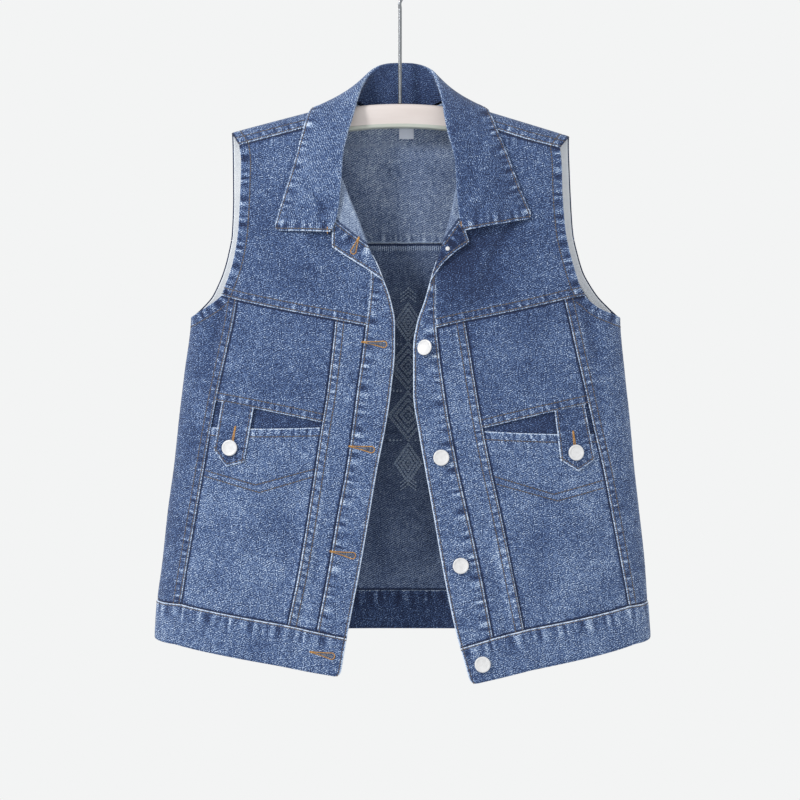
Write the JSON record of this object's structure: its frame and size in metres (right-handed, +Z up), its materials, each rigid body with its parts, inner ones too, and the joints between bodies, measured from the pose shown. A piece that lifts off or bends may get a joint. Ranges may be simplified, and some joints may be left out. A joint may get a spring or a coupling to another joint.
{
  "type": "sleeveless denim vest on a hanger",
  "caption": "Denim vest with turned-down collar, yoke, slanted pockets with button tabs and hem band, worn open, hanging on a flat arched hanger with a wire hook.",
  "frame": {"origin": "inside top of the hook, where it rests on a rail", "axes": "+Z up, +X to the right as seen from the front, +Y towards the back; the wearer's front faces -Y"},
  "size_m": [0.5359, 0.0894, 0.7815],
  "materials": {
    "denim": "washed indigo cotton twill",
    "denim_wrong_side": "pale wrong side of the twill",
    "facing_tape": "off-white woven tape",
    "label_tape": "satin tape, bare",
    "button": "off-white enamel",
    "hanger_bar": "smooth beige",
    "hook_wire": "polished plated steel wire"
  },
  "bodies": {
    "root": {"armhole_facing_left": "facing_tape", "armhole_facing_right": "facing_tape", "back_panel": "denim", "back_yoke": "denim", "button_1": "button", "button_2": "button", "button_3": "button", "button_4": "button", "button_5": "button", "collar_leaf": "denim", "collar_stand": "denim", "front_strip_left": "denim", "front_strip_right": "denim", "front_yoke_left": "denim", "front_yoke_right": "denim", "hanger_bar": "hanger_bar", "hem_band_back": "denim", "hem_band_left": "denim", "hem_band_right": "denim", "hook": "hook_wire", "lapel_placket_left": "denim", "lapel_placket_right": "denim", "lapel_yoke_left": "denim_wrong_side", "lapel_yoke_right": "denim_wrong_side", "placket_left": "denim", "placket_right": "denim", "pocket_facing_left": "denim", "pocket_facing_right": "denim", "pocket_front_left": "denim", "pocket_front_right": "denim", "pocket_panel_left": "denim", "pocket_panel_right": "denim", "pocket_tab_left": "denim", "pocket_tab_right": "denim", "side_back_left": "denim", "side_back_right": "denim", "side_front_left": "denim", "side_front_right": "denim", "size_tab": "label_tape", "tab_button_left": "button", "tab_button_right": "button"}
  },
  "joints": []
}
